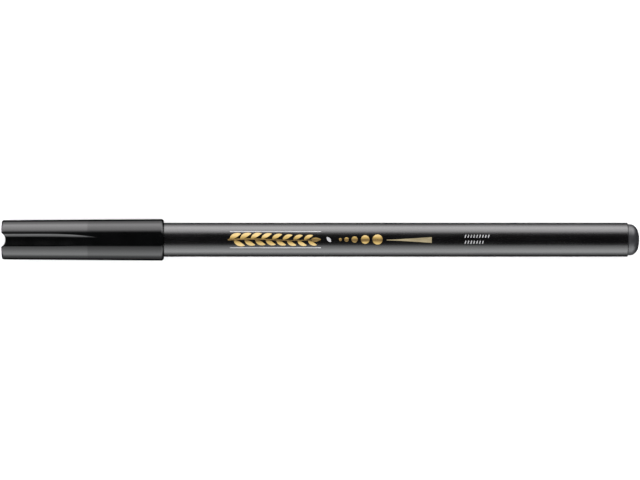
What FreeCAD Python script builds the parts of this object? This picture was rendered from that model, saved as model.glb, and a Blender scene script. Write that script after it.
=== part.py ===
# Capped brush pen, modelled lying along X: closed cap end at -X, rear plug at +X, flutes of the cap up and down (Z).
# The origin is on the pen's axis, half way along the capped pen. Millimetres.
# Stations along the pen are given as s, the distance from the cap's closed end; X = s - LENGTH / 2.
import FreeCAD, Part
import math
import os

V = FreeCAD.Vector

# ---- overall ----
LENGTH = 166.0            # capped pen, end to end
# ---- cap shell (injection moulded, tapered, two flutes joined by a groove over the closed end) ----
CAP_LEN = 42.2            # closed end to mouth
CAP_R_END = 5.13          # outside radius at the closed end
CAP_R_MOUTH = 5.42        # outside radius at the mouth
CAP_END_ROUND = 0.55      # rounding of the closed end's rim
CAP_MOUTH_ROUND = 0.75    # rounding of the mouth's outer rim
CAP_MOUTH_BORE_R = 4.27   # slides over the stepped-down front end of the barrel
CAP_CAVITY_START = 2.6    # end wall, measured from the closed end
SEAL_BORE_R = 4.33        # bore that holds the inner seal
SEAL_BORE_S0, SEAL_BORE_S1 = 26.6, 36.7
# stations of the flute: s, radius of its round section, distance of its floor from the axis; it narrows and runs out
FLUTE = [(-6, 2.31, 4.374), (4, 2.31, 4.374), (9, 2.31, 4.374), (13, 2.28, 4.41), (17.5, 2.03, 4.527),
         (21.5, 1.98, 4.864), (25, 2, 5.138), (28, 1.14, 5.262), (31, 1, 5.6)]
FLUTE_WALL = 0.85         # wall left under the flute (a ridge inside the cap)
FLUTE_EDGE_ROUND = 0.10   # rounding of the flute's and groove's rims
END_GROOVE_R = 2.12       # groove that joins both flutes over the closed end
END_GROOVE_DEPTH = 1.05
GROOVE_HALF = math.sqrt(END_GROOVE_R ** 2 - (END_GROOVE_R - END_GROOVE_DEPTH) ** 2)
# ---- inner seal of the cap ----
SEAL_S0, SEAL_S1 = 26.7, 36.5
SEAL_R_OUT, SEAL_R_IN = 4.30, 3.86
SEAL_LIP_R, SEAL_LIP_S1 = 3.40, 27.8
# ---- barrel ----
BARREL_S0, BARREL_S1 = 38.0, 163.0
BARREL_R = 4.41           # outside radius of the printed barrel
BARREL_STEP_S = 42.24     # the cap covers the barrel up to here
BARREL_FRONT_R = 4.22     # outside radius under the cap
BARREL_BORE_R = 3.70
RIB_COUNT, RIB_W, RIB_TIP_R = 6, 0.5, 3.40
RIB_S0, RIB_S1 = 52.0, 153.5
# ---- front section that holds the nib ----
SECTION_MOUTH_S, SECTION_MOUTH_R = 19.0, 2.45
SECTION_CONE_S1, SECTION_CONE_R1 = 28.0, 3.30
NECK_R, NECK_S1 = 3.70, 37.2
BEAD_R, BEAD_S, BEAD_HALF = 3.83, 33.2, 0.7
FLANGE_R = 4.08
SPIGOT_R, SPIGOT_S1 = 3.70, 50.4
COLLAR_SEAT_R, COLLAR_SEAT_S1 = 2.10, 27.2
SECTION_BORE_R = 1.78
# ---- nib ----
COLLAR_S0, COLLAR_S1 = 18.4, 27.2
NIB_R = 1.55
HINGE_S = 18.4            # the soft tip bends about the collar's mouth
BALL_R, SOCKET_R = 1.41, 1.50
SOCKET_RIM = 0.3          # the socket's rim lies this far behind the bend
NIB_TIP_S = 9.6
SHANK_S1 = 54.6
# ---- ink reservoir ----
CORE_R = 3.20
CORE_S0, CORE_S1 = 50.6, 150.6
FILM_R = 3.33
# ---- rear plug ----
PLUG_R = 4.05
PLUG_SPIGOT_R, PLUG_SPIGOT_IN, PLUG_SPIGOT_S0 = 3.70, 2.90, 155.0
PLUG_STOP_S0 = 151.0
PLUG_WEB_T = 0.9
PLUG_OUT = 3.0            # how far the dome stands out of the barrel
PLUG_SKIN = 1.3

HALF = LENGTH / 2.0


def X(s):
    return s - HALF


def revolve(path):
    """Turns a closed outline about the X axis. path: (s, r) for a straight run, (s_mid, r_mid, s, r) for an arc, or
    ("curve", points, start tangent, end tangent) for a smooth curve; the last point is joined to the first."""
    edges = []
    first = V(X(path[0][0]), path[0][1], 0)
    last = first
    for p in path[1:]:
        if p[0] == "curve":
            _, through, t0, t1 = p
            pts = [last] + [V(X(a), b, 0) for a, b in through]
            curve = Part.BSplineCurve()
            curve.interpolate(Points=pts, InitialTangent=V(t0[0], t0[1], 0), FinalTangent=V(t1[0], t1[1], 0))
            edges.append(curve.toShape())
            nxt = pts[-1]
        elif len(p) == 2:
            nxt = V(X(p[0]), p[1], 0)
            if (nxt - last).Length > 1e-7:
                edges.append(Part.LineSegment(last, nxt).toShape())
        else:
            nxt = V(X(p[2]), p[3], 0)
            edges.append(Part.Arc(last, V(X(p[0]), p[1], 0), nxt).toShape())
        last = nxt
    if (first - last).Length > 1e-7:
        edges.append(Part.LineSegment(last, first).toShape())
    wire = Part.Wire(edges)
    face = Part.Face(wire)
    solid = face.revolve(V(0, 0, 0), V(1, 0, 0), 360)
    if solid.Volume < 0:
        solid = face.revolve(V(0, 0, 0), V(-1, 0, 0), 360)
    return solid.Solids[0]


def solid_of(shape):
    """The one solid in a shape."""
    if len(shape.Solids) != 1:
        raise ValueError("expected one solid, not %d" % len(shape.Solids))
    return shape.Solids[0]


def corner(s0, r0, s1, r1, s2, r2, rad):
    """Arc (mid and end) that rounds the corner s1,r1 between two straight runs; returns (start, (mid, end))."""
    a, b, c = V(s0, r0, 0), V(s1, r1, 0), V(s2, r2, 0)
    u, w = (a - b).normalize(), (c - b).normalize()
    half = u.getAngle(w) / 2.0
    d = rad / math.tan(half)
    p, q = b + u * d, b + w * d
    bis = (u + w).normalize()
    centre = b + bis * (rad / math.sin(half))
    mid = centre - bis * rad
    return (p.x, p.y), (mid.x, mid.y, q.x, q.y)


def cap_outer_r(s):
    return CAP_R_END + (CAP_R_MOUTH - CAP_R_END) * s / CAP_LEN


def flute_cutter(grow, side):
    """A round bar along the flute: full width for the first third of the cap, then narrower and further from the axis.
    grow is added to its radius, and its floor moves in by as much."""
    rings = []
    for s, r, floor in FLUTE:
        rings.append(Part.Wire([Part.Circle(V(X(s), 0, -(floor + r)), V(1, 0, 0), r + grow).toShape()]))
    bar = Part.makeLoft(rings, True, False)
    if bar.Volume < 0:
        bar.reverse()
    if side > 0:
        bar.rotate(V(0, 0, 0), V(1, 0, 0), 180)
    return bar


def cap_shell():
    p_end, arc_end = corner(0, 0, 0, CAP_R_END, CAP_LEN, CAP_R_MOUTH, CAP_END_ROUND)
    p_m, arc_m = corner(0, CAP_R_END, CAP_LEN, CAP_R_MOUTH, CAP_LEN, CAP_MOUTH_BORE_R, CAP_MOUTH_ROUND)
    outer = revolve([(0, 0), p_end, arc_end, p_m, arc_m, (CAP_LEN, 0)])
    for side in (1, -1):
        outer = outer.cut(flute_cutter(0.0, side))
    groove = Part.makeCylinder(END_GROOVE_R, 14.0, V(X(END_GROOVE_DEPTH - END_GROOVE_R), 0, -7.0), V(0, 0, 1))
    outer = solid_of(outer.cut(groove))
    outer = soften(outer, FLUTE_EDGE_ROUND, flute_rim)
    c0 = CAP_CAVITY_START
    space = revolve([(c0, 0), (c0, 3.45), (c0 + 0.16, 3.84, c0 + 0.55, 4.0), (SEAL_BORE_S0 + 0.5, 4.12), (SEAL_BORE_S0 + 0.5, 0)])
    for side in (1, -1):
        space = space.cut(flute_cutter(FLUTE_WALL, side))
    bores = revolve([
        (SEAL_BORE_S0, 0), (SEAL_BORE_S0, SEAL_BORE_R), (SEAL_BORE_S1, SEAL_BORE_R),
        (SEAL_BORE_S1 + 0.15, 4.24), (SEAL_BORE_S1 + 0.30, 4.24), (SEAL_BORE_S1 + 0.60, CAP_MOUTH_BORE_R),
        (CAP_LEN - 0.25, CAP_MOUTH_BORE_R), (CAP_LEN + 0.02, CAP_MOUTH_BORE_R + 0.27), (CAP_LEN + 1.0, CAP_MOUTH_BORE_R + 0.27), (CAP_LEN + 1.0, 0),
    ])
    return solid_of(outer.cut(space.fuse(bores)))


def flute_rim(edge):
    """True for the rims where a flute or the end groove meets the outside of the cap."""
    mid = edge.valueAt((edge.FirstParameter + edge.LastParameter) / 2.0)
    s, r = mid.x + HALF, math.hypot(mid.y, mid.z)
    if s < 1e-4 and edge.Length < 0.5:
        return False
    on_end = s < 1e-4 and abs(abs(mid.y) - GROOVE_HALF) < 0.02
    on_side = s > 0.02 and s < CAP_LEN - 2 and abs(r - cap_outer_r(s)) < 0.35 and 0.05 < abs(mid.y) < 2.4
    return on_end or on_side


def soften(shape, radius, want):
    """Fillets the edges that want(edge) picks, if the kernel can; otherwise the shape stays sharp."""
    edges = [e for e in shape.Edges if want(e)]
    for r in (radius, radius * 0.75, radius * 0.5):
        try:
            made = shape.makeFillet(r, edges)
            if made.isValid() and made.Volume > 0.97 * shape.Volume and len(made.Solids) == 1:
                print("fillet", r, "on", len(edges), "edges")
                return made
        except Exception as err:
            print("fillet", r, "refused on", len(edges), "edges:", err)
    return shape


def cap_inner_seal():
    return revolve([
        (SEAL_S0, SEAL_LIP_R), (SEAL_S0, SEAL_R_OUT - 0.15), (SEAL_S0 + 0.15, SEAL_R_OUT), (SEAL_S1, SEAL_R_OUT),
        (SEAL_S1, SEAL_R_IN + 0.12), (SEAL_S1 - 0.4, SEAL_R_IN), (SEAL_LIP_S1 + 0.3, SEAL_R_IN), (SEAL_LIP_S1, SEAL_R_IN - 0.1), (SEAL_LIP_S1, SEAL_LIP_R + 0.08),
        (SEAL_LIP_S1 - 0.35, SEAL_LIP_R),
    ])


def barrel():
    body = revolve([
        (BARREL_S0, BARREL_BORE_R), (BARREL_S0, BARREL_FRONT_R - 0.12), (BARREL_S0 + 0.12, BARREL_FRONT_R),
        (BARREL_STEP_S, BARREL_FRONT_R), (BARREL_STEP_S, BARREL_R - 0.10), (BARREL_STEP_S + 0.10, BARREL_R), (BARREL_S1 - 0.18, BARREL_R),
        (BARREL_S1 - 0.05, BARREL_R - 0.05, BARREL_S1, BARREL_R - 0.18), (BARREL_S1, BARREL_BORE_R),
    ])
    for i in range(RIB_COUNT):
        rib = Part.makeBox(RIB_S1 - RIB_S0, RIB_W, BARREL_BORE_R + 0.3 - RIB_TIP_R, V(X(RIB_S0), -RIB_W / 2, RIB_TIP_R))
        rib.rotate(V(0, 0, 0), V(1, 0, 0), 360.0 / RIB_COUNT * i)
        body = body.fuse(rib)
    return solid_of(body.removeSplitter())


def nib_section():
    b0, b1 = BEAD_S - BEAD_HALF, BEAD_S + BEAD_HALF
    return revolve([
        (SECTION_MOUTH_S, COLLAR_SEAT_R), (SECTION_MOUTH_S, SECTION_MOUTH_R - 0.18),
        (SECTION_MOUTH_S + 0.05, SECTION_MOUTH_R - 0.05, SECTION_MOUTH_S + 0.2, SECTION_MOUTH_R),
        (SECTION_CONE_S1, SECTION_CONE_R1), (SECTION_CONE_S1, NECK_R - 0.2), (SECTION_CONE_S1 + 0.2, NECK_R),
        (b0, NECK_R), (BEAD_S, BEAD_R, b1, NECK_R), (NECK_S1, NECK_R),
        (NECK_S1, FLANGE_R - 0.1), (NECK_S1 + 0.1, FLANGE_R), (BARREL_S0, FLANGE_R), (BARREL_S0, SPIGOT_R),
        (SPIGOT_S1 - 0.5, SPIGOT_R), (SPIGOT_S1, SPIGOT_R - 0.35), (SPIGOT_S1, SECTION_BORE_R),
        (COLLAR_SEAT_S1, SECTION_BORE_R), (COLLAR_SEAT_S1, COLLAR_SEAT_R),
    ])


def nib_collar():
    return revolve([
        (COLLAR_S0, NIB_R), (COLLAR_S0, COLLAR_SEAT_R - 0.3), (COLLAR_S0 + 0.09, COLLAR_SEAT_R - 0.09, COLLAR_S0 + 0.3, COLLAR_SEAT_R),
        (COLLAR_S1, COLLAR_SEAT_R), (COLLAR_S1, NIB_R),
    ])


def nib_tip():
    h = HINGE_S
    taper = [(h - 1.5, 1.46), (h - 2.6, 1.44), (h - 3.8, 1.30), (h - 5.0, 1.06), (h - 6.3, 0.74), (h - 7.6, 0.41), (NIB_TIP_S + 0.35, 0.26), (NIB_TIP_S + 0.07, 0.13), (NIB_TIP_S, 0)]
    return revolve([
        (h + BALL_R, 0),
        (h + BALL_R * math.sin(math.pi / 4), BALL_R * math.cos(math.pi / 4), h, BALL_R),
        (h - 0.5, BALL_R),
        ("curve", taper, (-1, 0), (0, -1)),
    ])


def nib_shank():
    h, r = HINGE_S + SOCKET_RIM, SOCKET_R
    z = math.sqrt(r * r - SOCKET_RIM ** 2)
    a = math.asin(SOCKET_RIM / r)
    m = (a + math.pi / 2) / 2
    return revolve([
        (h, z), (h, NIB_R), (SHANK_S1 - 0.3, NIB_R), (SHANK_S1, NIB_R - 0.3), (SHANK_S1, 0), (HINGE_S + r, 0),
        (HINGE_S + r * math.sin(m), r * math.cos(m), h, z),
    ])


def reservoir_core():
    return revolve([
        (CORE_S0, NIB_R), (CORE_S0, CORE_R), (CORE_S1, CORE_R), (CORE_S1, 0), (SHANK_S1, 0), (SHANK_S1, NIB_R - 0.3), (SHANK_S1 - 0.3, NIB_R),
    ])


def reservoir_film():
    return revolve([(CORE_S0 + 0.3, CORE_R), (CORE_S0 + 0.3, FILM_R), (CORE_S1 - 0.3, FILM_R), (CORE_S1 - 0.3, CORE_R)])


def end_plug():
    s0, r = BARREL_S1, PLUG_R
    dome = [(s0 + 0.52, r - 0.014), (s0 + 0.78, r - 0.05), (s0 + 1.30, r - 0.18), (s0 + 1.82, r - 0.51), (s0 + 2.34, r - 1.11), (s0 + 2.62, r - 1.64), (s0 + 2.84, r - 2.42), (s0 + 2.96, r - 3.30), (s0 + PLUG_OUT, 0)]
    body = revolve([
        (PLUG_SPIGOT_S0, PLUG_SPIGOT_IN), (PLUG_SPIGOT_S0, PLUG_SPIGOT_R - 0.3), (PLUG_SPIGOT_S0 + 0.6, PLUG_SPIGOT_R), (s0, PLUG_SPIGOT_R),
        (s0, r - 0.14), (s0 + 0.14, r), ("curve", dome, (1, 0), (0, -1)),
        (s0 + PLUG_OUT - PLUG_SKIN, 0), (s0 + PLUG_OUT - PLUG_SKIN, 1.4), (s0 + 0.9, 2.5), (s0 + 0.2, PLUG_SPIGOT_IN),
    ])
    # cross web that stops the reservoir
    across = 2 * PLUG_SPIGOT_IN + 0.3
    end = s0 + PLUG_OUT - PLUG_SKIN + 0.2
    long = Part.makeBox(PLUG_SPIGOT_S0 + 0.3 - PLUG_STOP_S0, PLUG_WEB_T, 2 * PLUG_SPIGOT_IN, V(X(PLUG_STOP_S0), -PLUG_WEB_T / 2, -PLUG_SPIGOT_IN))
    deep = Part.makeBox(s0 - PLUG_SPIGOT_S0 - 0.2, PLUG_WEB_T, across, V(X(PLUG_SPIGOT_S0 + 0.2), -PLUG_WEB_T / 2, -across / 2))
    core = Part.makeBox(end - s0 + 0.4, PLUG_WEB_T, 2.4, V(X(s0 - 0.4), -PLUG_WEB_T / 2, -1.2))
    web = long.fuse(deep).fuse(core)
    turned = web.copy()
    turned.rotate(V(0, 0, 0), V(1, 0, 0), 90)
    return solid_of(body.fuse(web.fuse(turned)).removeSplitter())


def main():
    os.makedirs("parts", exist_ok=True)
    made = {
        "cap_shell": cap_shell(),
        "cap_inner_seal": cap_inner_seal(),
        "barrel": barrel(),
        "nib_section": nib_section(),
        "nib_collar": nib_collar(),
        "nib_tip": nib_tip(),
        "nib_shank": nib_shank(),
        "reservoir_core": reservoir_core(),
        "reservoir_film": reservoir_film(),
        "end_plug": end_plug(),
    }
    for name, shape in made.items():
        print(name, shape.ShapeType, len(shape.Solids), "valid", shape.isValid(), "volume %.2f" % shape.Volume)
        shape.exportStep("parts/%s.step" % name)


main()
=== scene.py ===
import math

import bpy
import numpy as np
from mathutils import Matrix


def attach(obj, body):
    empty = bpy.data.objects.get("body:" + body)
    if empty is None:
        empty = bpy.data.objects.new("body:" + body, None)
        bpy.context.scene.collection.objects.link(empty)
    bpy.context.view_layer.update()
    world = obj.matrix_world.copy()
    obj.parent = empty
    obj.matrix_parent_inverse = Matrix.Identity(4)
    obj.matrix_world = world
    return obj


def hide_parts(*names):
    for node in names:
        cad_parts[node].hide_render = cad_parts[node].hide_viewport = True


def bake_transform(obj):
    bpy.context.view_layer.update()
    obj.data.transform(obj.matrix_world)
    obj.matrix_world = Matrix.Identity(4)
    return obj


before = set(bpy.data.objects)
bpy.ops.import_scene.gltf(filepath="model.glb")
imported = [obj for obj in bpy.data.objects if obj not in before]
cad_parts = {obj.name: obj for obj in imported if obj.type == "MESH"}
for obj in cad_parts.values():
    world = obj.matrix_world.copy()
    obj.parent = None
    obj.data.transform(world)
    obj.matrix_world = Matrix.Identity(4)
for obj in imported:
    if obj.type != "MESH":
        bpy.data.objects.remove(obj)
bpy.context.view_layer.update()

scene = bpy.context.scene
MM = 0.001
HALF = 83.0  # the pen is 166 mm long; s is the distance from the cap's closed end in millimetres

# ------------------------------------------------------------------ meshes


def new_object(name, verts_mm, faces, normals=None, sharp_deg=35.0, smooth=True):
    """A mesh object from points (s, y, z) in millimetres; s is measured from the cap's closed end."""
    v = np.asarray(verts_mm, dtype=float).copy()
    v[:, 0] -= HALF
    me = bpy.data.meshes.new(name)
    me.from_pydata((v * MM).tolist(), [], [tuple(int(i) for i in f) for f in faces])
    me.validate()
    me.update()
    ob = bpy.data.objects.new(name, me)
    scene.collection.objects.link(ob)
    for p in me.polygons:
        p.use_smooth = smooth
    if smooth and sharp_deg is not None:
        me.set_sharp_from_angle(angle=math.radians(sharp_deg))
    if normals is not None:
        me.normals_split_custom_set_from_vertices(np.asarray(normals, dtype=float).tolist())
    return ob


def skin(rows, wrap_rows=False):
    """Points and quads from rows of equal length round the axis; a row of one point is a pole."""
    verts, index = [], []
    for r in rows:
        r = np.atleast_2d(r)
        index.append(list(range(len(verts), len(verts) + len(r))))
        verts.extend(r.tolist())
    faces = []
    pairs = list(zip(index[:-1], index[1:]))
    if wrap_rows:
        pairs.append((index[-1], index[0]))
    for a, b in pairs:
        n = max(len(a), len(b))
        for j in range(n):
            k = (j + 1) % n
            if len(a) == 1:
                faces.append((a[0], b[k], b[j]))
            elif len(b) == 1:
                faces.append((a[j], a[k], b[0]))
            else:
                faces.append((a[j], a[k], b[k], b[j]))
    return np.array(verts), faces


def rounded(points, n=6):
    """An outline from (s, r, radius) corners, each corner rounded with its radius; the first and last stay as they are."""
    out = [points[0][:2]]
    for i in range(1, len(points) - 1):
        b = np.array(points[i][:2], float)
        rad = points[i][2] if len(points[i]) > 2 else 0.0
        if rad <= 0:
            out.append(tuple(b))
            continue
        a, c = np.array(points[i - 1][:2], float), np.array(points[i + 1][:2], float)
        u, w = (a - b) / np.linalg.norm(a - b), (c - b) / np.linalg.norm(c - b)
        half = math.acos(max(-1.0, min(1.0, float(u @ w)))) / 2
        if half > 1.565:
            out.append(tuple(b))
            continue
        d = rad / math.tan(half)
        p, q = b + u * d, b + w * d
        centre = b + (u + w) / np.linalg.norm(u + w) * rad / math.sin(half)
        for t in np.linspace(0, 1, n + 1):
            m = (p - centre) * (1 - t) + (q - centre) * t
            out.append(tuple(centre + m / np.linalg.norm(m) * rad))
    out.append(points[-1][:2])
    return out


def fine(outline, step):
    """Adds points along straight runs longer than step."""
    out = [outline[0]]
    for a, b in zip(outline[:-1], outline[1:]):
        d = math.hypot(b[0] - a[0], b[1] - a[1])
        n = max(1, int(math.ceil(d / step)))
        for k in range(1, n + 1):
            out.append((a[0] + (b[0] - a[0]) * k / n, a[1] + (b[1] - a[1]) * k / n))
    return out


def lathe(name, outline, segments=128, closed_ring=True, sharp_deg=35.0, shape=None):
    """Turns an outline of (s, r) about the axis. closed_ring joins the last point to the first; points at r = 0 are poles."""
    ang = np.linspace(0, 2 * math.pi, segments, endpoint=False)
    rows = []
    for s, r in outline:
        if r < 1e-6:
            rows.append(np.array([[s, 0.0, 0.0]]))
        else:
            rr = np.full(segments, r) if shape is None else shape(s, r, ang)
            rows.append(np.column_stack([np.full(segments, s), rr * np.sin(ang), rr * np.cos(ang)]))
    v, f = skin(rows, wrap_rows=closed_ring)
    return new_object(name, v, f, sharp_deg=sharp_deg)


def outward(ob):
    """Makes the faces of a closed mesh point outwards."""
    import bmesh

    bm = bmesh.new()
    bm.from_mesh(ob.data)
    bmesh.ops.recalc_face_normals(bm, faces=bm.faces)
    bm.to_mesh(ob.data)
    bm.free()
    ob.data.update()


# ------------------------------------------------------------------ node materials


class Mat:
    """A small helper for building node materials."""

    def __init__(self, name):
        self.m = bpy.data.materials.new(name)
        self.m.use_nodes = True
        self.t = self.m.node_tree
        self.t.nodes.clear()
        self.out = self.t.nodes.new("ShaderNodeOutputMaterial")
        self.bsdf = self.t.nodes.new("ShaderNodeBsdfPrincipled")
        self.link(self.bsdf.outputs["BSDF"], self.out.inputs["Surface"])
        self.co = self.t.nodes.new("ShaderNodeTexCoord").outputs["Object"]

    def link(self, a, b):
        self.t.links.new(a, b)

    def node(self, kind, **values):
        n = self.t.nodes.new(kind)
        for k, v in values.items():
            if k in n.inputs.keys():
                n.inputs[k].default_value = v
            else:
                setattr(n, k, v)
        return n

    def set(self, **values):
        for k, v in values.items():
            self.bsdf.inputs[k.replace("_", " ")].default_value = v

    def stretched(self, scale):
        n = self.node("ShaderNodeMapping")
        n.inputs["Scale"].default_value = scale
        self.link(self.co, n.inputs["Vector"])
        return n.outputs["Vector"]

    def noise(self, vector, scale, detail=3.0, rough=0.5, distortion=0.0):
        n = self.node("ShaderNodeTexNoise", Scale=scale, Detail=detail, Roughness=rough, Distortion=distortion)
        self.link(vector, n.inputs["Vector"])
        return n.outputs["Fac"]

    def ramp(self, fac, stops):
        n = self.node("ShaderNodeValToRGB")
        e = n.color_ramp.elements
        while len(e) > 1:
            e.remove(e[-1])
        e[0].position, e[0].color = stops[0][0], (*stops[0][1], 1.0)
        for at, col in stops[1:]:
            x = e.new(at)
            x.color = (*col, 1.0)
        self.link(fac, n.inputs["Fac"])
        return n.outputs["Color"]

    def span(self, fac, lo, hi, a=0.0, b=1.0):
        n = self.node("ShaderNodeMapRange")
        n.clamp = True
        for k, v in zip(("From Min", "From Max", "To Min", "To Max"), (a, b, lo, hi)):
            n.inputs[k].default_value = v
        self.link(fac, n.inputs["Value"])
        return n.outputs["Result"]

    def math(self, op, a, b):
        n = self.node("ShaderNodeMath")
        n.operation = op
        for i, v in enumerate((a, b)):
            if isinstance(v, (int, float)):
                n.inputs[i].default_value = v
            else:
                self.link(v, n.inputs[i])
        return n.outputs[0]

    def bump(self, height, strength, distance):
        n = self.node("ShaderNodeBump", Strength=strength, Distance=distance)
        self.link(height, n.inputs["Height"])
        self.link(n.outputs["Normal"], self.bsdf.inputs["Normal"])

    def axis(self, i):
        n = self.node("ShaderNodeSeparateXYZ")
        self.link(self.co, n.inputs[0])
        return n.outputs[i]


def cap_material():
    m = Mat("cap_polished_black")
    m.set(IOR=1.49)
    cloud = m.noise(m.stretched((1.0, 1.0, 1.0)), 260.0, 4.0, 0.55)
    m.link(m.ramp(cloud, [(0.3, (0.0009, 0.0010, 0.0010)), (0.7, (0.0015, 0.0016, 0.0017))]), m.bsdf.inputs["Base Color"])
    # the half towards the closed end came out of the mould a little glossier than the rest
    seam = m.span(m.axis(0), 1.0, 0.0, (22.30 - HALF) * MM, (22.50 - HALF) * MM)
    m.link(m.span(seam, CAP_SPEC[1], CAP_SPEC[0]), m.bsdf.inputs["Specular IOR Level"])
    fine_grain = m.noise(m.stretched((1.0, 1.0, 1.0)), 5200.0, 2.0, 0.5)
    base = m.span(cloud, 0.085, 0.125, 0.3, 0.7)
    m.link(m.math("ADD", base, m.span(fine_grain, -0.012, 0.012, 0.3, 0.7)), m.bsdf.inputs["Roughness"])
    m.bump(m.noise(m.stretched((0.35, 1.0, 1.0)), 420.0, 3.0, 0.6), 0.08, 0.00002)
    return m.m


def barrel_material():
    m = Mat("barrel_satin_black")
    m.set(IOR=1.50)
    draw = m.noise(m.stretched((0.02, 1.0, 1.0)), 2600.0, 3.0, 0.6)
    cloud = m.noise(m.stretched((0.4, 1.0, 1.0)), 190.0, 4.0, 0.6)
    m.link(m.ramp(cloud, [(0.3, (0.0006, 0.0005, 0.0006)), (0.7, (0.0012, 0.0011, 0.0012))]), m.bsdf.inputs["Base Color"])
    m.link(m.math("ADD", m.span(cloud, 0.245, 0.285, 0.3, 0.7), m.span(draw, -0.02, 0.02, 0.3, 0.7)), m.bsdf.inputs["Roughness"])
    m.bsdf.inputs["Specular IOR Level"].default_value = BARREL_SPEC
    m.bump(draw, 0.06, 0.000012)
    return m.m


def plug_material():
    m = Mat("plug_matte_grey")
    m.set(IOR=1.48)
    grain = m.noise(m.stretched((1.0, 1.0, 1.0)), 3600.0, 3.0, 0.6)
    cloud = m.noise(m.stretched((1.0, 1.0, 1.0)), 520.0, 3.0, 0.5)
    m.link(m.ramp(cloud, [(0.3, (0.0155, 0.016, 0.0178)), (0.7, (0.0195, 0.020, 0.0218))]), m.bsdf.inputs["Base Color"])
    m.link(m.span(grain, 0.34, 0.44, 0.3, 0.7), m.bsdf.inputs["Roughness"])
    m.bsdf.inputs["Specular IOR Level"].default_value = 0.85
    m.bump(grain, 0.25, 0.00001)
    return m.m


def section_material():
    m = Mat("section_smooth_black")
    m.set(IOR=1.49)
    cloud = m.noise(m.stretched((0.5, 1.0, 1.0)), 420.0, 4.0, 0.6)
    m.link(m.ramp(cloud, [(0.3, (0.005, 0.005, 0.006)), (0.7, (0.009, 0.009, 0.010))]), m.bsdf.inputs["Base Color"])
    m.link(m.span(cloud, 0.16, 0.24, 0.3, 0.7), m.bsdf.inputs["Roughness"])
    m.bump(m.noise(m.stretched((1.0, 1.0, 1.0)), 2400.0, 2.0, 0.5), 0.06, 0.00001)
    return m.m


def pale_material(name, low, high, rough):
    m = Mat(name)
    m.set(IOR=1.51)
    cloud = m.noise(m.stretched((1.0, 1.0, 1.0)), 600.0, 4.0, 0.6)
    m.link(m.ramp(cloud, [(0.3, low), (0.7, high)]), m.bsdf.inputs["Base Color"])
    m.link(m.span(cloud, rough - 0.04, rough + 0.05, 0.3, 0.7), m.bsdf.inputs["Roughness"])
    m.bsdf.inputs["Subsurface Weight"].default_value = 0.15
    m.bsdf.inputs["Subsurface Radius"].default_value = (0.0006, 0.0006, 0.0006)
    m.bump(m.noise(m.stretched((1.0, 1.0, 1.0)), 2600.0, 2.0, 0.5), 0.08, 0.00001)
    return m.m


def fibre_material(name, low, high, scale=5200.0):
    """Fibres that run along the pen, soaked in ink."""
    m = Mat(name)
    m.set(IOR=1.40)
    strands = m.noise(m.stretched((0.05, 1.0, 1.0)), scale, 4.0, 0.65, 0.4)
    wet = m.noise(m.stretched((0.5, 1.0, 1.0)), 500.0, 3.0, 0.5)
    m.link(m.ramp(strands, [(0.30, low), (0.55, high), (0.75, tuple(1.9 * c for c in high))]), m.bsdf.inputs["Base Color"])
    m.link(m.span(wet, 0.38, 0.62, 0.3, 0.7), m.bsdf.inputs["Roughness"])
    m.bsdf.inputs["Sheen Weight"].default_value = 0.15
    m.bump(strands, 0.6, 0.00004)
    return m.m


def film_material():
    m = Mat("reservoir_film_clear")
    m.set(IOR=1.5, Roughness=0.12)
    crinkle = m.noise(m.stretched((0.3, 1.0, 1.0)), 900.0, 3.0, 0.6)
    m.link(m.ramp(crinkle, [(0.3, (0.62, 0.66, 0.70)), (0.7, (0.80, 0.83, 0.86))]), m.bsdf.inputs["Base Color"])
    m.bsdf.inputs["Transmission Weight"].default_value = 0.85
    m.bump(crinkle, 0.2, 0.00003)
    return m.m


def print_material(name, dark, light, bright, rough, painted_shade_and_highlight=False):
    """Printing ink with a metallic shimmer: flakes in a lacquer. Its last flag paints light on it as it falls on the
    round barrel: painted shade along its middle and painted highlights towards both sides.
    """
    m = Mat(name)
    m.set(IOR=1.5)
    flake = m.noise(m.stretched((1.0, 1.0, 1.0)), 9000.0, 2.0, 0.5)
    shade = m.noise(m.stretched((0.35, 1.6, 1.0)), 430.0, 3.0, 0.55)
    mix = m.math("ADD", m.math("MULTIPLY", shade, 0.75), m.math("MULTIPLY", flake, 0.25))
    if painted_shade_and_highlight:
        # painted shade along the print's middle and painted highlights towards its sides, as the lamps show on the
        # round barrel
        across = m.math("ABSOLUTE", m.math("SUBTRACT", m.axis(1), -0.00012), 0.0)
        band = m.span(across, 0.355, 0.645, 0.00012, 0.00125)
        mix = m.math("ADD", band, m.math("MULTIPLY", m.math("SUBTRACT", mix, 0.5), 0.45))
    m.link(m.ramp(mix, [(0.36, dark), (0.50, light), (0.64, bright)]), m.bsdf.inputs["Base Color"])
    m.link(m.span(flake, rough - 0.06, rough + 0.06, 0.3, 0.7), m.bsdf.inputs["Roughness"])
    m.bump(flake, 0.12, 0.000006)
    return m.m


def floor_material():
    m = Mat("floor_paper")
    m.set(IOR=1.3)
    grain = m.noise(m.stretched((1.0, 1.0, 1.0)), 900.0, 3.0, 0.5)
    m.link(m.ramp(grain, [(0.3, (0.90, 0.90, 0.90)), (0.7, (0.92, 0.92, 0.92))]), m.bsdf.inputs["Base Color"])
    m.set(Roughness=1.0)
    m.bsdf.inputs["Specular IOR Level"].default_value = 0.0
    return m.m


CAP_SPEC = (0.62, 0.47)
BARREL_SPEC = 1.0

# ------------------------------------------------------------------ the cap

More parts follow.
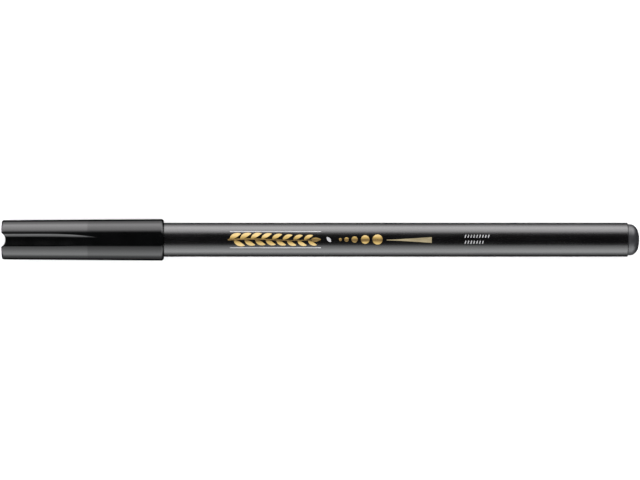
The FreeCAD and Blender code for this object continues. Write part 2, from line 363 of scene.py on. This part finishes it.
CAP_LEN = 42.2
R_END, R_MOUTH = 5.13, 5.415
END_ROUND, MOUTH_ROUND, RIM_ROUND, GROOVE_ROUND = 0.55, 0.75, 0.10, 0.20
GROOVE_R, GROOVE_DEPTH = 2.12, 1.05
FLUTE = [(-6.0, 2.15, 3.43), (4.0, 2.15, 3.43), (9.0, 2.15, 3.43), (13.0, 2.12, 3.47), (17.5, 1.92, 3.70), (21.5, 1.46, 4.12),
         (25.0, 0.95, 4.62), (28.0, 0.60, 5.12), (31.0, 0.40, 5.60)]
WALL = 0.85  # left under the flutes, so that the space inside has two ridges
RIDGE = [(-6.0, 2.31, 4.374), (4.0, 2.31, 4.374), (9.0, 2.31, 4.374), (13.0, 2.28, 4.41), (17.5, 2.03, 4.527), (21.5, 1.98, 4.864),
         (25.0, 2.0, 5.138), (28.0, 1.14, 5.262), (31.0, 1.0, 5.60)]


def through(xs, ys):
    """A smooth curve through the points: slopes from a natural spline."""
    xs, ys = np.array(xs, float), np.array(ys, float)
    n = len(xs)
    h = np.diff(xs)
    a = np.zeros((n, n))
    b = np.zeros(n)
    a[0, 0] = a[-1, -1] = 1.0
    for i in range(1, n - 1):
        a[i, i - 1], a[i, i], a[i, i + 1] = h[i - 1], 2 * (h[i - 1] + h[i]), h[i]
        b[i] = 6 * ((ys[i + 1] - ys[i]) / h[i] - (ys[i] - ys[i - 1]) / h[i - 1])
    m = np.linalg.solve(a, b)

    def at(x):
        x = np.clip(np.asarray(x, float), xs[0], xs[-1])
        i = np.clip(np.searchsorted(xs, x) - 1, 0, n - 2)
        d = x - xs[i]
        w = xs[i + 1] - x
        return (m[i] * w ** 3 + m[i + 1] * d ** 3) / (6 * h[i]) + (ys[i] / h[i] - m[i] * h[i] / 6) * w + (ys[i + 1] / h[i] - m[i + 1] * h[i] / 6) * d

    return at


flute_r = through([k[0] for k in FLUTE], [k[1] for k in FLUTE])
flute_floor = through([k[0] for k in FLUTE], [k[2] for k in FLUTE])
ridge_r = through([k[0] for k in RIDGE], [k[1] for k in RIDGE])
ridge_floor = through([k[0] for k in RIDGE], [k[2] for k in RIDGE])


def cap_r(s):
    return R_END + (R_MOUTH - R_END) * s / CAP_LEN


# the flute's section where it is widest, from the outside of the cap: a steep rounded wall on one side (a) runs into a gently
# sloping floor (b); both are parts of circles, (y, z) of the centre with z from the cap's outside, and the radius
FLUTE_A, FLUTE_B = (0.335, 0.700, 1.550), (20.630205, 55.513385, 60.0)
FLUTE_FULL = 2.0295
TURN = math.atan2(FLUTE_B[0] - FLUTE_A[0], FLUTE_B[1] - FLUTE_A[1])  # the slope where the two circles meet


def flute_scale(s):
    """How large the flute's section is at s, against its widest; it is 0 where the flute has run out."""
    r, fl, big = flute_r(s), flute_floor(s), cap_r(s)
    zc = fl + r
    z = (big * big - r * r + zc * zc) / (2 * zc)
    return np.sqrt(np.maximum(big * big - z * z, 0.0)) / FLUTE_FULL * (zc - r < big)


def flute_depth(s):
    """How deep the flute is at s against its full form: it gets flatter as it runs out."""
    t = np.clip((np.asarray(s, float) - 16.5) / 11.5, 0.0, 1.0)
    return 1.0 - 0.66 * t * t * (3 - 2 * t)


def flute_void(s, y, z):
    """Above zero inside the flute on top of the cap, in millimetres."""
    k = np.maximum(flute_scale(s), 1e-6)
    top = np.sqrt(np.maximum(cap_r(s) ** 2 - y * y, 0.0))
    z = top - (top - z) / flute_depth(s)
    u, w = y / k, (z - cap_r(s)) / k
    a = FLUTE_A[2] - np.hypot(u - FLUTE_A[0], w - FLUTE_A[1])
    b = FLUTE_B[2] - np.hypot(u - FLUTE_B[0], w - FLUTE_B[1])
    gentle = (u - FLUTE_A[0]) * math.cos(TURN) - (w - FLUTE_A[1]) * math.sin(TURN) < 0
    v = k * np.where(gentle, b, a)
    return np.where((k < 0.02) | (z < 0), -5.0, v)


def round_max(a, b, f):
    """Where two sides of a solid meet, their edge rounded with radius f."""
    return np.minimum(-f, np.maximum(a, b)) + np.hypot(np.maximum(f + a, 0), np.maximum(f + b, 0))


def cap_field(p):
    """Below zero inside the cap's outer form."""
    s, y, z = p[:, 0], p[:, 1], p[:, 2]
    side = np.hypot(y, z) - cap_r(s)
    body = round_max(side, -s, END_ROUND)
    body = round_max(body, np.maximum(flute_void(s, y, z), flute_void(s, -y, -z)), RIM_ROUND)
    groove = GROOVE_R - np.hypot(s - (GROOVE_DEPTH - GROOVE_R), y)
    body = round_max(body, groove, GROOVE_ROUND)
    return round_max(body, s - CAP_LEN, MOUTH_ROUND)


def field_gradient(p, h=1e-4):
    g = np.zeros_like(p)
    for i in range(3):
        d = np.zeros(3)
        d[i] = h
        g[:, i] = (cap_field(p + d) - cap_field(p - d)) / (2 * h)
    return g


def onto_field(p, steps=8):
    for _ in range(steps):
        g = field_gradient(p)
        p = p - (cap_field(p) / np.maximum((g * g).sum(1), 0.2))[:, None] * g
    return p


N_SIDE, N_RIM, N_FLUTE = 84, 6, 34  # columns on each flank, each rim of a flute and each flute


def hit(big, k, circle, side):
    """Where a circle of the flute's section, scaled by k, meets the outside on that side: y and z."""
    cy, cz, r = circle[0] * k, circle[1] * k + big, circle[2] * k
    d = math.hypot(cy, cz)
    along = (big * big - r * r + d * d) / (2 * d)
    across = math.sqrt(max(big * big - along * along, 0.0))
    uy, uz = cy / d, cz / d
    return uy * along + side * uz * across, uz * along - side * uy * across


def spread(a, b, n):
    return np.linspace(a, b, n + 1)[:-1]


def section_outline(radius, k, depth=1.0):
    """A round section with a flute on top and, turned half round, one below. The same number of points for every k."""
    tiny = k < 0.02
    half = []
    if tiny:
        up = down = 0.012
    else:
        (uy, uz), (dy, dz) = hit(radius, k, FLUTE_A, 1), hit(radius, k, FLUTE_B, -1)
        up, down = math.atan2(uy, uz), -math.atan2(dy, dz)
    rim = min(0.14 / radius, 0.25 * (up + down)) if not tiny else 0.002
    # the lower rim, coming from the flank
    for a in spread(-down - rim, -down, N_RIM // 2):
        half.append((radius * math.sin(a), radius * math.cos(a)))
    # the flute itself
    n_b = N_FLUTE // 2
    if tiny:
        for a in spread(-down, up, N_FLUTE + 0):
            half.append((radius * math.sin(a), radius * math.cos(a)))
    else:
        by, bz, br = FLUTE_B[0] * k, FLUTE_B[1] * k + radius, FLUTE_B[2] * k
        ay, az, ar = FLUTE_A[0] * k, FLUTE_A[1] * k + radius, FLUTE_A[2] * k
        t0 = math.atan2(by - dy, bz - dz)
        for a in spread(t0, TURN, n_b):
            half.append((by - br * math.sin(a), bz - br * math.cos(a)))
        t1 = math.atan2(ay - uy, az - uz)
        for a in spread(TURN, t1, N_FLUTE - n_b):
            half.append((ay - ar * math.sin(a), az - ar * math.cos(a)))
        for i in range(len(half) - N_FLUTE, len(half)):
            y, z = half[i]
            top = math.sqrt(radius * radius - y * y)
            half[i] = (y, top - depth * (top - z))
    # the upper rim and the flank
    for a in spread(up, up + rim, N_RIM // 2):
        half.append((radius * math.sin(a), radius * math.cos(a)))
    start, end = up + rim, math.pi - down - rim
    for q in spread(0.0, 1.0, N_SIDE):
        w = q - 0.11 * math.sin(2 * math.pi * q) / 1.6
        a = start + (end - start) * w
        half.append((radius * math.sin(a), radius * math.cos(a)))
    one = np.array(half)
    return np.vstack([one, -one])


def cap_rows():
    outline_end = section_outline(cap_r(0.0), float(flute_scale(0.0)))

    def height(y):
        return np.maximum(0.0, GROOVE_DEPTH - GROOVE_R + np.sqrt(np.maximum(GROOVE_R ** 2 - y ** 2, 0.0)) * (np.abs(y) < GROOVE_R) - (np.abs(y) >= GROOVE_R) * 9)

    rows, pole = [], np.array([[GROOVE_DEPTH, 0.0, 0.0]])
    for q in list(np.linspace(0.02, 0.90, 45)) + list(np.linspace(0.912, 1.0, 9))[:-1]:
        yz = outline_end * q
        rows.append(np.column_stack([height(yz[:, 0]), yz]))
    h = height(outline_end[:, 0])
    t_side = [0.0, 0.07, 0.14, 0.22, 0.31, 0.42, 0.55, 0.72, 0.95, 1.3, 1.8, 2.4, 3.2, 4.2, 5.5, 7.0, 8.5, 10.0, 11.5, 12.5]
    t_side += list(np.arange(13.2, 26.0, 0.55)) + list(np.arange(26.0, 31.0, 0.22)) + [31.5, 33.0, 35.0, 37.0, 39.0, 40.5, 41.1]
    t_side += [41.35, 41.5, 41.64, 41.77, 41.89, 41.99, 42.08, 42.14, 42.2]
    for t in t_side:
        o = section_outline(cap_r(t), float(flute_scale(t)), float(flute_depth(t)))
        s = t + h * max(0.0, 1 - t / 3.0)
        rows.append(np.column_stack([s, o]))
    o = section_outline(cap_r(CAP_LEN), 0.0)
    for q in (0.985, 0.965, 0.94, 0.915, 0.89, 0.875):
        rows.append(np.column_stack([np.full(len(o), CAP_LEN), o * q]))
    outer = onto_field(np.vstack(rows))
    # the outline's own rows must stay where the mouth's lip ends
    n = len(o)
    outer_rows = [outer[i * n:(i + 1) * n] for i in range(len(rows))]
    return pole, outer_rows, n


def ridged(outline, r, back_r, back_z):
    """A round section inside the cap, flattened by the two ridges that back the flutes."""
    out = outline.copy()
    zc = back_z + back_r
    for i, (y, z) in enumerate(outline):
        uy, uz = y / r, abs(z) / r
        # where a ray from the middle meets the ridge
        b = uz * zc
        q = b * b - zc * zc + back_r * back_r
        if q > 0 and b - math.sqrt(q) < r:
            out[i] = outline[i] * ((b - math.sqrt(q)) / r)
    return out


def cap_inside(n):
    """Rows from the lip of the mouth back to the end wall inside."""
    rows = []
    plain = [(42.2, 4.53), (42.12, 4.44), (41.95, 4.28), (41.7, 4.27), (40.0, 4.27), (38.0, 4.27), (37.32, 4.27), (37.28, 4.268), (37.02, 4.242), (36.98, 4.24), (36.86, 4.24), (36.84, 4.245),
             (36.72, 4.32), (36.68, 4.33), (34.0, 4.33), (30.0, 4.33), (27.0, 4.33), (26.62, 4.33), (26.60, 4.31)]
    for s, r in plain:
        o = section_outline(r, 0.0)
        rows.append(np.column_stack([np.full(n, s), o]))
    stations = [26.59, 26.0, 25.0, 24.0, 23.0, 22.0, 21.0, 20.0, 19.0, 18.0, 17.0, 16.0, 15.0, 14.0, 13.0, 11.0, 9.0, 7.0, 5.0, 4.0, 3.4, 3.15, 2.95, 2.80, 2.70, 2.63, 2.60]
    for s in stations:
        k = s - 2.6
        r = 4.0 + 0.12 * (s - 3.15) / 23.45
        if k < 0.55:
            r = 3.45 + math.sqrt(max(0.55 ** 2 - (0.55 - k) ** 2, 0.0))
        rows.append(np.column_stack([np.full(n, s), ridged(section_outline(r, 0.0), r, float(ridge_r(s)) + WALL, float(ridge_floor(s)) - WALL)]))
    last = rows[-1]
    for q in (0.8, 0.5, 0.2):
        rows.append(np.column_stack([np.full(n, 2.6), last[:, 1:] * q]))
    return rows, np.array([[2.6, 0.0, 0.0]])


def make_cap():
    pole, outer_rows, n = cap_rows()
    inner_rows, inner_pole = cap_inside(n)
    v, f = skin([pole] + outer_rows + inner_rows + [inner_pole])
    ob = new_object("cap_shell_moulded", v, f, sharp_deg=None)
    outward(ob)
    ob.data.set_sharp_from_angle(angle=math.radians(40))
    return ob


# ------------------------------------------------------------------ the other pieces

mat_cap, mat_barrel, mat_plug, mat_section = cap_material(), barrel_material(), plug_material(), section_material()
mat_seal = pale_material("seal_natural", (0.66, 0.68, 0.67), (0.74, 0.75, 0.74), 0.34)
mat_collar = pale_material("collar_grey", (0.50, 0.51, 0.52), (0.58, 0.59, 0.60), 0.30)
mat_nib = fibre_material("nib_fibre_black", (0.004, 0.004, 0.006), (0.016, 0.016, 0.020))
mat_core = fibre_material("reservoir_fibre_inked", (0.006, 0.006, 0.009), (0.022, 0.022, 0.028), 3800.0)
mat_film = film_material()


def give(ob, mat):
    ob.data.materials.clear()
    ob.data.materials.append(mat)


cap = make_cap()
give(cap, mat_cap)
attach(cap, "cap")
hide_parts("cap_shell")

seal = lathe("cap_inner_seal_soft", fine(rounded([
    (27.4, 3.40), (26.7, 3.40, 0.10), (26.7, 4.30, 0.15), (36.5, 4.30, 0.10), (36.5, 3.86, 0.16), (30.0, 3.86, 0.3),
    (28.1, 3.86, 0.2), (27.8, 3.76, 0.1), (27.8, 3.48, 0.06), (27.4, 3.40)]), 0.7)[:-1], 160)
outward(seal)
give(seal, mat_seal)
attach(seal, "cap")
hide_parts("cap_inner_seal")

barrel = lathe("barrel_tube", fine(rounded([
    (60.0, 3.70), (38.0, 3.70, 0.06), (38.0, 4.22, 0.12), (42.24, 4.22, 0.03), (42.24, 4.41, 0.10), (163.0, 4.41, 0.18), (163.0, 3.70, 0.06), (60.0, 3.70)]), 2.5)[:-1], 192)
outward(barrel)
give(barrel, mat_barrel)
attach(barrel, "pen")
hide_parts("barrel")

section = lathe("front_section", fine(rounded([
    (27.2, 1.78), (27.2, 2.10), (19.0, 2.10, 0.05), (19.0, 2.45, 0.2), (24.0, 2.93, 2.0), (28.0, 3.30, 0.14), (28.0, 3.70, 0.18), (32.6, 3.70, 0.4),
    (33.2, 3.83, 0.5), (33.8, 3.70, 0.4), (37.2, 3.70, 0.10), (37.2, 4.08, 0.10), (38.0, 4.08, 0.02), (38.0, 3.695, 0.02), (49.9, 3.695, 0.3), (50.4, 3.35, 0.1),
    (50.4, 1.78, 0.05), (27.2, 1.78)]), 0.8)[:-1], 160)
outward(section)
give(section, mat_section)
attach(section, "pen")
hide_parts("nib_section")

collar = lathe("nib_collar_sleeve", fine(rounded([
    (20.0, 1.55), (18.4, 1.55, 0.06), (18.4, 2.10, 0.30), (27.2, 2.10, 0.05), (27.2, 1.55, 0.05), (20.0, 1.55)]), 0.5)[:-1], 128)
outward(collar)
give(collar, mat_collar)
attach(collar, "pen")
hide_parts("nib_collar")


def plug_dome():
    """Outside of the plug, from the barrel's end to its middle."""
    pts = [(0.14, 4.05), (0.52, 4.046), (0.78, 4.032), (1.02, 4.0), (1.28, 3.93), (1.54, 3.80), (1.82, 3.59), (2.10, 3.31), (2.36, 2.97), (2.62, 2.49), (2.84, 1.75), (2.96, 0.86), (3.0, 0.0)]
    chord = np.concatenate([[0], np.cumsum([math.dist(a, b) for a, b in zip(pts[:-1], pts[1:])])])
    fs, fr = through(chord, [p[0] for p in pts]), through(chord, [p[1] for p in pts])
    out = [(163.0 + float(fs(t)), max(float(fr(t)), 0.0)) for t in np.linspace(0, chord[-1], 44)]
    out[-1] = (166.0, 0.0)
    return out


plug = lathe("end_plug_domed", fine([(164.7, 0.0), (164.7, 1.4), (163.9, 2.5), (163.2, 2.9), (155.0, 2.9), (155.0, 3.4), (155.6, 3.69), (162.99, 3.69), (162.99, 3.93), (163.03, 3.99), (163.08, 4.03)], 0.8) + plug_dome(), 160, closed_ring=False)
outward(plug)
give(plug, mat_plug)
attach(plug, "pen")
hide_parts("end_plug")


def nib_shape(s, r, ang):
    """Shallow strands round the soft tip."""
    fade = max(0.0, min(1.0, (18.2 - s) / 2.0)) * min(1.0, r / 0.7)
    return r * (1.0 - 0.006 * fade * (1 + np.cos(26 * ang + 0.35 * s)) / 2) - 0.004 * fade * (1 + np.cos(9 * ang - 0.5 * s)) / 2


def nib_outline():
    pts = [(9.6, 0.0), (9.67, 0.13), (9.95, 0.255), (10.8, 0.40), (12.1, 0.73), (13.4, 1.05), (14.6, 1.29), (15.8, 1.43), (16.9, 1.455), (17.9, 1.41), (18.6, 1.41), (19.2, 1.42)]
    chord = np.concatenate([[0], np.cumsum([math.dist(a, b) for a, b in zip(pts[:-1], pts[1:])])])
    fs, fr = through(chord, [p[0] for p in pts]), through(chord, [p[1] for p in pts])
    out = [(float(fs(t)), max(float(fr(t)), 0.0)) for t in np.linspace(0, chord[-1], 90)]
    out[0] = (9.6, 0.0)
    tail = fine([(19.2, 1.42), (20.6, 1.53), (30.0, 1.53), (54.3, 1.53), (54.58, 1.25), (54.58, 0.6)], 1.0)[1:]
    return out + tail + [(54.58, 0.0)]


nib = lathe("brush_nib", nib_outline(), 112, closed_ring=False, shape=nib_shape)
outward(nib)
give(nib, mat_nib)
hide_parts("nib_tip", "nib_shank")
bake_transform(nib)

for node, mat in (("reservoir_core", mat_core), ("reservoir_film", mat_film)):
    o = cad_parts[node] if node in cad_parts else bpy.data.objects[node]
    o = o if hasattr(o, "material_slots") else bpy.data.objects[node]
    if not o.material_slots:
        o.data.materials.append(mat)
    for k in o.material_slots:
        k.material = mat

# ------------------------------------------------------------------ the printed decoration

PRINT_R, INK = 4.41, 0.008
PX = 1 / 3.84  # one unit of the decoration's grid in millimetres


class Print:
    """Flat shapes of ink, wrapped round the top of the barrel. u runs along the pen from its middle, v across it."""

    def __init__(self):
        self.v, self.f = [], []

    def put(self, u, v, top):
        a = v / PRINT_R
        r = PRINT_R + (INK if top else -0.004)
        self.v.append((HALF + u, -r * math.sin(a) * -1.0, r * math.cos(a)))
        return len(self.v) - 1

    def sheet(self, grid, ring=False):
        """A closed thin layer over a grid of (u, v) points. In a ring the last row of points is the first again."""
        n, m = len(grid), len(grid[0])
        top = [[self.put(*p, True) for p in row] for row in grid]
        low = [[self.put(*p, False) for p in row] for row in grid]
        for i in range(n - 1):
            for j in range(m - 1):
                self.f.append((top[i][j], top[i + 1][j], top[i + 1][j + 1], top[i][j + 1]))
                self.f.append((low[i][j], low[i][j + 1], low[i + 1][j + 1], low[i + 1][j]))
        for i in range(n - 1):
            self.f.append((top[i][0], low[i][0], low[i + 1][0], top[i + 1][0]))
            self.f.append((top[i][-1], top[i + 1][-1], low[i + 1][-1], low[i][-1]))
        for j in range(0 if ring else m - 1):
            self.f.append((top[0][j], top[0][j + 1], low[0][j + 1], low[0][j]))
            self.f.append((top[-1][j], low[-1][j], low[-1][j + 1], top[-1][j + 1]))

    def stroke(self, path, widths, across=6):
        """A ribbon along a path with a half-width at each point, in grid units."""
        p = np.array(path, float) * PX
        w = np.array(widths, float) * PX
        t = np.gradient(p, axis=0)
        t /= np.linalg.norm(t, axis=1)[:, None]
        nrm = np.column_stack([-t[:, 1], t[:, 0]])
        k = np.linspace(-1, 1, across + 1)
        self.sheet([[tuple(p[i] + nrm[i] * w[i] * c) for c in k] for i in range(len(p))])

    def disc(self, u, v, r, inner=0.0, n=40):
        """A dot, or a ring if inner is given."""
        rs = np.linspace(max(inner, r * 0.04), r, 4 if inner else 7) * PX
        ang = np.linspace(0, 2 * math.pi, n + 1)
        self.sheet([[(u * PX + q * math.cos(a), v * PX + q * math.sin(a)) for q in rs] for a in ang], ring=True)

    def make(self, name, mat):
        ob = new_object(name, self.v, self.f, sharp_deg=30)
        import bmesh

        bm = bmesh.new()
        bm.from_mesh(ob.data)
        bmesh.ops.remove_doubles(bm, verts=bm.verts, dist=1e-8)
        bmesh.ops.recalc_face_normals(bm, faces=bm.faces)
        bm.to_mesh(ob.data)
        bm.free()
        give(ob, mat)
        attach(ob, "pen")
        return ob


def line(a, b, n):
    return [(a[0] + (b[0] - a[0]) * t, a[1] + (b[1] - a[1]) * t) for t in np.linspace(0, 1, n)]


gold, pale = Print(), Print()
# a sprig: a fine stem with pairs of leaves
stem = [(u, 0.1 + 0.7 * math.sin((u + 92) / 88 * 2 * math.pi)) for u in np.linspace(-92.5, -3.5, 90)]
gold.stroke(stem, [0.25 + 0.5 * (1 - k / 89) for k in range(90)], 3)


def leaf(u, v, length, lift, half):
    """A leaf that leaves the stem at u, v and curves away from it."""
    ts = np.linspace(0, 1, 28)
    path = [(u + length * (t ** 1.08), v + lift * (1 - (1 - t) ** 1.7)) for t in ts]
    gold.stroke(path, [0.12 + half * math.sin(math.pi * t ** 0.85) ** 0.85 for t in ts])


for i in range(8):
    u = -91.0 + 10.6 * i
    v = 0.1 + 0.7 * math.sin((u + 92) / 88 * 2 * math.pi)
    size = 1.0 - 0.03 * i
    leaf(u + 0.4, v + 0.5, 11.2 * size, 5.4 * size, 2.2 * size)
    leaf(u + 4.6, v - 0.5, 10.8 * size, -5.3 * size, 2.1 * size)
gold.stroke(line((-9.5, 0.0), (0.5, 0.4), 20), [0.15 + 1.9 * math.sin(math.pi * t ** 0.8) ** 0.85 for t in np.linspace(0, 1, 20)])
# dots of growing size
for i, (u, r) in enumerate(((19.8, 1.5), (26.0, 2.2), (34.0, 3.1), (44.6, 4.3), (56.9, 5.1))):
    gold.disc(u, 0.3, r)
# two fine rules that frame the stroke, open at both ends
for v in (8.6, -8.2):
    pale.stroke(line((-90.5, v), (0.5, v), 40), [0.42] * 40, 2)
pale.stroke(line((6.2, 2.8), (10.4, -2.2), 12), [0.2 + 1.5 * math.sin(math.pi * t) for t in np.linspace(0, 1, 12)], 4)
# a wedge that shows a line growing from fine to broad
pale_gold = Print()
pale_gold.stroke(line((66.0, -0.2), (111.0, -0.2), 60), [0.35 + 2.6 * t ** 1.3 for t in np.linspace(0, 1, 60)])
# two short rows of ticks
for row, v in enumerate((3.6, -2.4)):
    for i in range(9):
        if row == 1 and i > 6:
            continue
        u = 144.2 + i * 2.9
        pale.stroke(line((u, v - 1.5), (u + 0.9, v + 1.5), 4), [0.48] * 4, 2)

# the gold's darkest colour is its shaded middle and its brightest its lit sides: painted shade and painted highlight
mat_gold = print_material("print_gold", (0.105, 0.062, 0.013), (0.34, 0.225, 0.058), (0.49, 0.355, 0.145), 0.36, True)
mat_pale_gold = print_material("print_pale_gold", (0.13, 0.105, 0.055), (0.19, 0.155, 0.085), (0.25, 0.21, 0.12), 0.4)
mat_pale = print_material("print_pale_grey", (0.22, 0.22, 0.225), (0.31, 0.31, 0.32), (0.40, 0.40, 0.41), 0.4)
gold.make("print_gold_strokes", mat_gold)
pale.make("print_grey_rules", mat_pale)
pale_gold.make("print_wedge", mat_pale_gold)

# ------------------------------------------------------------------ floor, light and camera

# the pen lies on the rim of its cap's mouth and on the barrel's rear end, so the floor leans very slightly in the pen's frame
a_s, a_z, b_s, b_z = 41.45, -5.4150, 162.82, -4.4105
slope = math.atan2(b_z - a_z, b_s - a_s)
bpy.ops.mesh.primitive_grid_add(x_subdivisions=8, y_subdivisions=8, size=4.0)
floor = bpy.context.object
floor.name = "studio_floor"
floor.rotation_euler = (0, -slope, 0)
at_origin = a_z + (HALF - a_s) * math.tan(slope)
floor.location = (0, 0, at_origin * MM - 0.000004)
give(floor, floor_material())
floor.visible_glossy = False


def strips(name, side, distance, levels, length, color):
    """A tall soft panel beside the pen, made of flat strips that face it. levels are (angle from straight up, radiance) along
    its height; the parts below the floor's level are seen only in reflections and stand for light off the table."""
    for i, ((a0, l0), (a1, l1)) in enumerate(zip(levels[:-1], levels[1:])):
        z_high, z_low = distance / math.tan(math.radians(a0)), distance / math.tan(math.radians(a1))
        h = z_high - z_low
        light = bpy.data.lights.new(f"{name}_{i}", "AREA")
        light.shape = "RECTANGLE"
        light.size, light.size_y = length, h
        light.energy = (l0 + l1) / 2 * math.pi * length * h
        light.color = color
        ob = bpy.data.objects.new(f"{name}_{i}", light)
        ob.location = (0, side * distance, (z_low + z_high) / 2)
        ob.rotation_euler = (math.radians(-90 * side), 0, 0)
        ob.visible_camera = False
        scene.collection.objects.link(ob)


def finer(levels, step=4.0):
    """Adds levels in between, so that the strips blend into each other."""
    out = [levels[0]]
    for a, b in zip(levels[:-1], levels[1:]):
        n = max(1, int(round((b[0] - a[0]) / step)))
        out += [(a[0] + (b[0] - a[0]) * k / n, a[1] + (b[1] - a[1]) * k / n) for k in range(1, n + 1)]
    return out


FAR = [(44, 0.25), (48, 0.6), (53, 1.8), (57, 3.2), (62, 3.45), (70, 4.1), (78, 4.4), (86, 4.8), (94, 4.7), (100, 3.6), (108, 2.1), (116, 1.3), (126, 0.9), (132, 0.2)]
NEAR = [(35, 0.1), (38, 0.9), (43, 1.4), (48, 1.6), (55, 1.95), (62, 2.4), (70, 2.9), (78, 3.2), (86, 3.4), (93, 3.1), (100, 2.0), (108, 0.9), (118, 0.45), (128, 0.25), (134, 0.1)]
strips("panel_far", 1, 0.30, finer(FAR), 1.0, (1.0, 0.985, 1.0))
strips("panel_near", -1, 0.30, finer(NEAR), 1.0, (0.975, 0.99, 1.0))

top = bpy.data.lights.new("top_fill", "AREA")
top.shape = "RECTANGLE"
top.size, top.size_y = 1.6, 1.6
top.energy = 2.45 * math.pi * 1.6 * 1.6
top_ob = bpy.data.objects.new("top_fill", top)
top_ob.location = (0, 0, 0.9)
top_ob.visible_camera = False
top_ob.visible_glossy = False
scene.collection.objects.link(top_ob)

world = bpy.data.worlds.new("studio")
scene.world = world
world.use_nodes = True
bg = world.node_tree.nodes["Background"]
bg.inputs["Color"].default_value = (0.012, 0.012, 0.013, 1.0)
bg.inputs["Strength"].default_value = 1.0

cam_data = bpy.data.cameras.new("photo_camera")
cam_data.lens, cam_data.sensor_width = 400.0, 36.0
cam = bpy.data.objects.new("photo_camera", cam_data)
cam.location = (-0.00014, -0.00005, 0.16674 * 400.0 / 36.0)
cam.rotation_euler = (0, 0, 0)
scene.collection.objects.link(cam)
scene.camera = cam

scene.view_settings.view_transform = "Standard"
scene.view_settings.look = "None"

bpy.context.view_layer.update()
